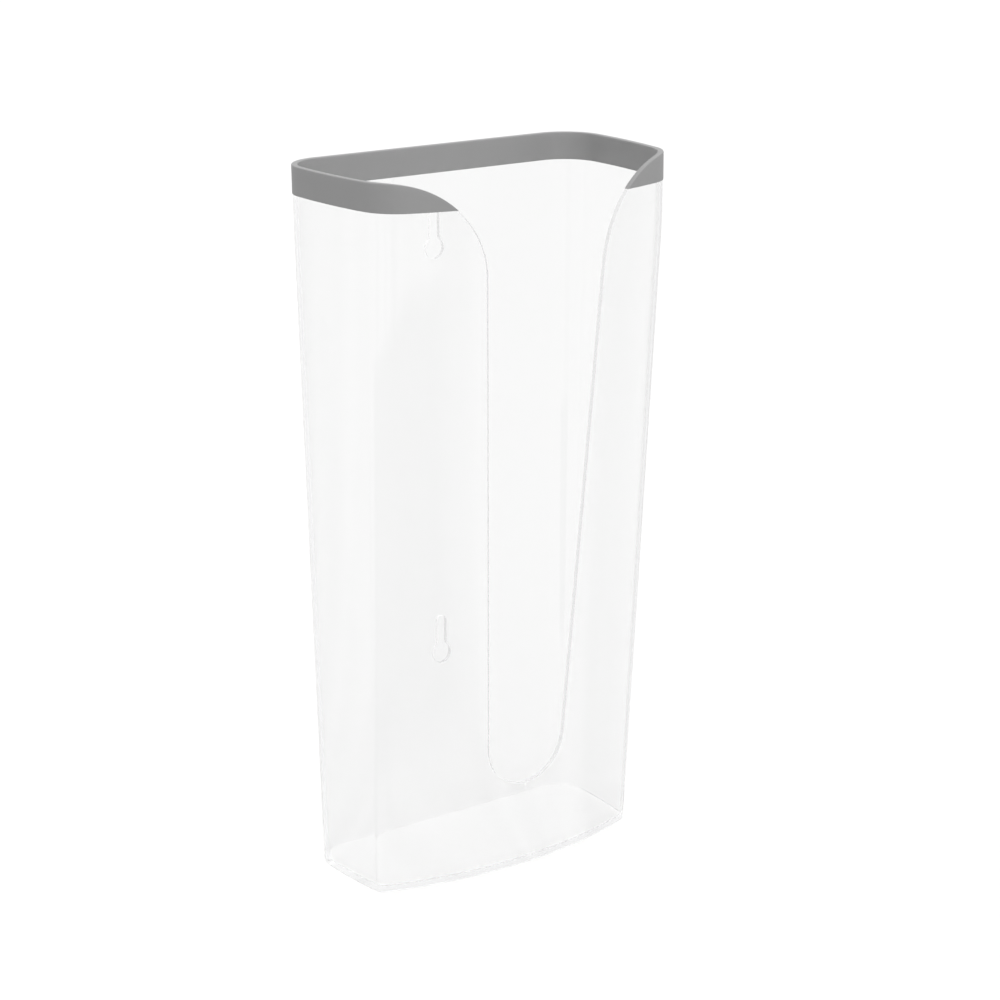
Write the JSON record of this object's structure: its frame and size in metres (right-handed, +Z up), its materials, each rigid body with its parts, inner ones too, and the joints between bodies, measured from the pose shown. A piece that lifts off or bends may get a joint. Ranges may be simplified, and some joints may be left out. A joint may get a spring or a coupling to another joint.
{
  "type": "cling film dispenser",
  "caption": "Tall clear wall bin with a bowed, slotted front, keyholes in its flat back and a grey band around its rim.",
  "frame": {"origin": "centre of the base underside", "axes": "+Z up, -Y towards the bowed front, +Y towards the flat back, +X to the right seen from the front"},
  "size_m": [0.1674, 0.0919, 0.336],
  "materials": {
    "clear_plastic": "clear, glossy, faint moulding waves",
    "grey_plastic": "opaque mid grey, satin, very fine mould grain"
  },
  "bodies": {
    "root": {"clear_bin": "clear_plastic", "rim_band": "grey_plastic"}
  },
  "joints": []
}
